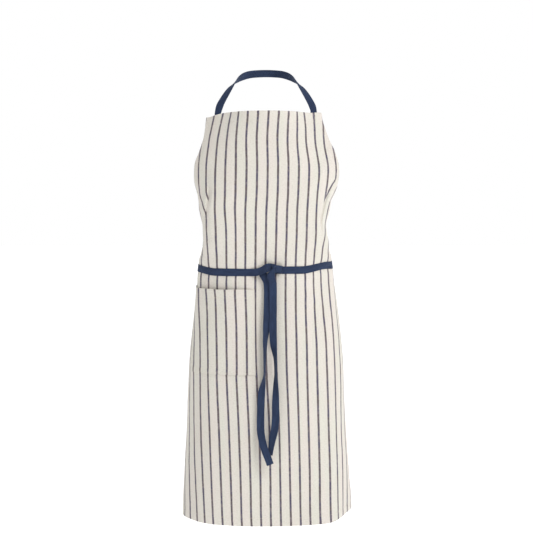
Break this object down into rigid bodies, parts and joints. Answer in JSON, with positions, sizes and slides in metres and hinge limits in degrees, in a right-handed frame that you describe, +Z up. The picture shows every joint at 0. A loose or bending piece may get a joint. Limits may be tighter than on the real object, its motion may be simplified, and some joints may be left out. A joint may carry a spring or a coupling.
{
  "type": "butcher apron",
  "caption": "Striped cloth bib apron with a navy neck strap, a patch pocket and long navy waist ties that cross behind and knot in front.",
  "frame": {"origin": "the inner face of the neck strap, in the middle, where it rests on the back of the neck", "axes": "+Z up, -Y out of the apron's front, +X to the viewer's right when facing the front"},
  "size_m": [0.3686, 0.233, 0.975],
  "materials": {
    "striped_cloth": "matte",
    "navy_tape": "matte",
    "cream_thread": "matte"
  },
  "bodies": {
    "neck_loop": {"neck_strap": "navy_tape"},
    "apron": {"body_panel": "striped_cloth", "bib_top_hem": "striped_cloth", "armhole_hem_left": "striped_cloth", "armhole_hem_right": "striped_cloth", "side_hem_left": "striped_cloth", "side_hem_right": "striped_cloth", "foot_hem": "striped_cloth", "pocket_patch": "striped_cloth", "pocket_mouth_hem": "striped_cloth", "neck_strap_end_left": "navy_tape", "neck_strap_end_right": "navy_tape", "waist_tie_left": "navy_tape", "waist_tie_right": "navy_tape", "tie_end_left": "navy_tape", "tie_end_right": "navy_tape", "knot_turn_left": "navy_tape", "knot_turn_right": "navy_tape", "strap_tack_thread": "cream_thread", "tie_tack_thread": "cream_thread", "pocket_seam_thread": "cream_thread", "bib_seam_thread": "cream_thread", "foot_seam_thread": "cream_thread", "side_seam_thread": "cream_thread"},
    "left_tail_root": {"tail_root_left": "navy_tape"},
    "right_tail_root": {"tail_root_right": "navy_tape"},
    "left_tail": {"tail_left": "navy_tape"},
    "right_tail": {"tail_right": "navy_tape"}
  },
  "joints": [
    {"name": "apron_swing", "type": "hinge", "parent": "neck_loop", "child": "apron", "pos_m": [0, -0.1015, -0.081], "axis": [-1, 0, 0], "range_deg": [-45, 60]},
    {"name": "right_tail_sway", "type": "hinge", "parent": "apron", "child": "right_tail_root", "pos_m": [0.009, -0.1703, -0.421], "axis": [0, 1, 0], "range_deg": [-20, 20]},
    {"name": "right_tail_lift", "type": "hinge", "parent": "right_tail_root", "child": "right_tail", "pos_m": [0.009, -0.1703, -0.45], "axis": [-1, 0, 0], "range_deg": [0, 80]},
    {"name": "left_tail_sway", "type": "hinge", "parent": "apron", "child": "left_tail_root", "pos_m": [0.009, -0.1703, -0.421], "axis": [0, 1, 0], "range_deg": [-20, 20]},
    {"name": "left_tail_lift", "type": "hinge", "parent": "left_tail_root", "child": "left_tail", "pos_m": [0.009, -0.1703, -0.45], "axis": [-1, 0, 0], "range_deg": [0, 80]}
  ],
  "couplings": [
    {"joint": "left_tail_sway", "follows": "right_tail_sway", "ratio": 1},
    {"joint": "left_tail_lift", "follows": "right_tail_lift", "ratio": 1}
  ]
}
